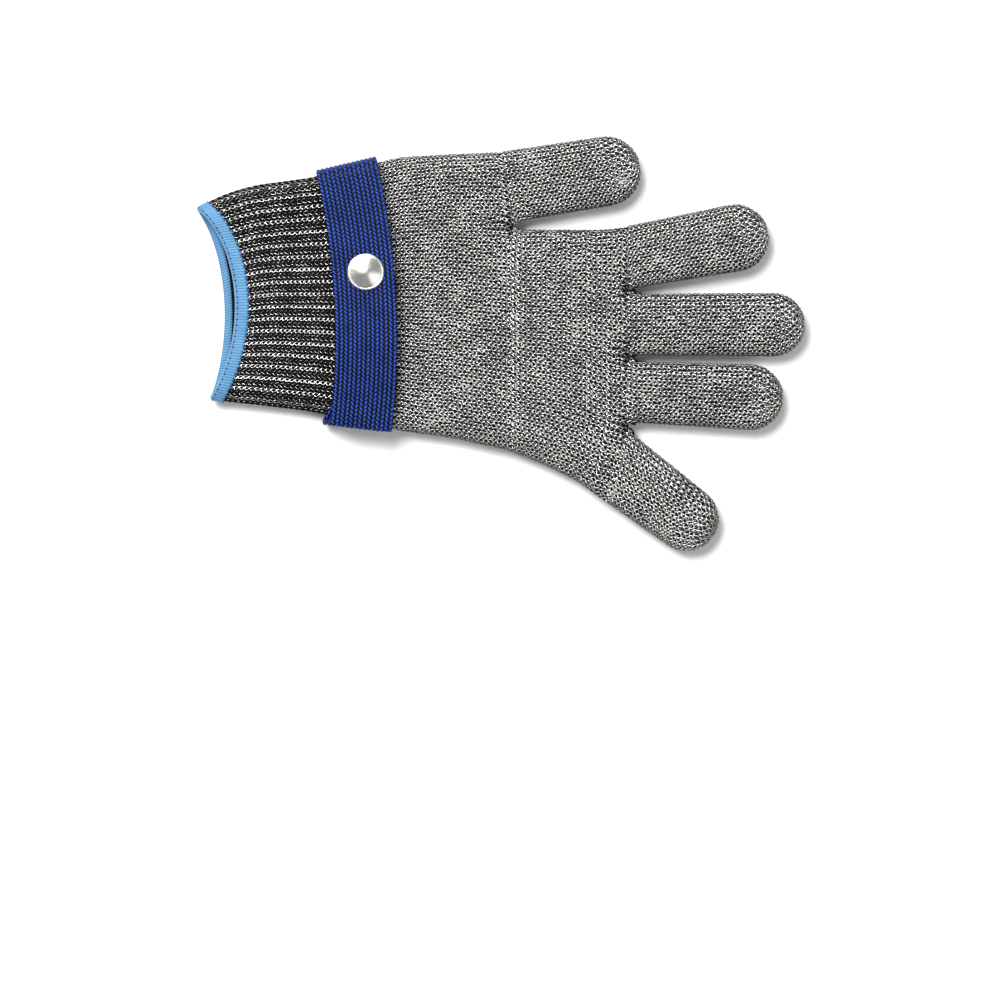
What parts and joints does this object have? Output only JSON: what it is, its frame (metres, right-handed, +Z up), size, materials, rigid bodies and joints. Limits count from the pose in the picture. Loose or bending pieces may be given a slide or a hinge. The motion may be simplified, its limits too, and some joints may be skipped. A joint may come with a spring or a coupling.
{
  "type": "chain mail glove",
  "caption": "Wire-knit cut-resistant glove lying flat: five digits, ribbed cuff with sewn hem, wrist strap of webbing with a snap.",
  "frame": {"origin": "middle of the footprint, on the surface that the glove lies on", "axes": "+X from the cuff to the fingertips, +Y towards the thumb, +Z up through the snap side"},
  "size_m": [0.2458, 0.1687, 0.0208],
  "materials": {
    "wire_knit": "stainless steel wire knitted over dark yarn",
    "rib_knit": "black yarn rib with fine steel wire",
    "hem_thread": "sky-blue overlock thread",
    "webbing": "royal-blue woven webbing",
    "snap_steel": "satin stainless steel",
    "spring_steel": "bright spring wire",
    "tack_thread": "royal-blue sewing thread",
    "elastic_yarn": "covered elastic yarn"
  },
  "bodies": {
    "hand": {"hand_knit": "wire_knit"},
    "cuff": {"wrist_knit": "wire_knit", "cuff_rib": "rib_knit", "cuff_hem": "hem_thread", "cuff_elastic": "elastic_yarn", "strap_band": "webbing", "strap_tack": "tack_thread", "snap_stud": "snap_steel", "snap_post": "snap_steel"},
    "flap": {"strap_flap": "webbing", "snap_cap": "snap_steel", "snap_socket": "snap_steel", "snap_spring": "spring_steel"},
    "thumb_base": {"thumb_base": "wire_knit"},
    "thumb_tip": {"thumb_tip": "wire_knit"},
    "index_base": {"index_base": "wire_knit"},
    "index_tip": {"index_tip": "wire_knit"},
    "middle_base": {"middle_base": "wire_knit"},
    "middle_tip": {"middle_tip": "wire_knit"},
    "ring_base": {"ring_base": "wire_knit"},
    "ring_tip": {"ring_tip": "wire_knit"},
    "little_base": {"little_base": "wire_knit"},
    "little_tip": {"little_tip": "wire_knit"}
  },
  "joints": [
    {"name": "wrist_fold", "type": "hinge", "parent": "hand", "child": "cuff", "pos_m": [-0.033, 0.0203, 0.006], "axis": [0, 1, 0], "range_deg": [-40, 40]},
    {"name": "thumb_knuckle_bend", "type": "hinge", "parent": "hand", "child": "thumb_base", "pos_m": [0.00365, 0.06394, 0.012], "axis": [0.1564, -0.9877, 0], "range_deg": [0, 60]},
    {"name": "thumb_middle_bend", "type": "hinge", "parent": "thumb_base", "child": "thumb_tip", "pos_m": [0.03032, 0.06817, 0.012], "axis": [0.1564, -0.9877, 0], "range_deg": [0, 80]},
    {"name": "index_knuckle_bend", "type": "hinge", "parent": "hand", "child": "index_base", "pos_m": [0.053, 0.0355, 0.012], "axis": [0, -1, 0], "range_deg": [0, 85]},
    {"name": "index_middle_bend", "type": "hinge", "parent": "index_base", "child": "index_tip", "pos_m": [0.08, 0.0355, 0.012], "axis": [0, -1, 0], "range_deg": [0, 100]},
    {"name": "middle_knuckle_bend", "type": "hinge", "parent": "hand", "child": "middle_base", "pos_m": [0.053, 0.0079, 0.012], "axis": [0, -1, 0], "range_deg": [0, 85]},
    {"name": "middle_middle_bend", "type": "hinge", "parent": "middle_base", "child": "middle_tip", "pos_m": [0.085, 0.0079, 0.012], "axis": [0, -1, 0], "range_deg": [0, 100]},
    {"name": "ring_knuckle_bend", "type": "hinge", "parent": "hand", "child": "ring_base", "pos_m": [0.053, -0.0194, 0.012], "axis": [0, -1, 0], "range_deg": [0, 85]},
    {"name": "ring_middle_bend", "type": "hinge", "parent": "ring_base", "child": "ring_tip", "pos_m": [0.081, -0.0194, 0.012], "axis": [0, -1, 0], "range_deg": [0, 100]},
    {"name": "little_knuckle_bend", "type": "hinge", "parent": "hand", "child": "little_base", "pos_m": [0.04891, -0.04847, 0.012], "axis": [-0.2588, -0.9659, 0], "range_deg": [0, 85]},
    {"name": "little_middle_bend", "type": "hinge", "parent": "little_base", "child": "little_tip", "pos_m": [0.069, -0.05386, 0.012], "axis": [-0.2588, -0.9659, 0], "range_deg": [0, 100]},
    {"name": "strap_flap_lift", "type": "hinge", "parent": "cuff", "child": "flap", "pos_m": [-0.06358, 0.06691, 0.0182], "axis": [-0.9746, -0.2239, 0], "range_deg": [0, 170]}
  ]
}
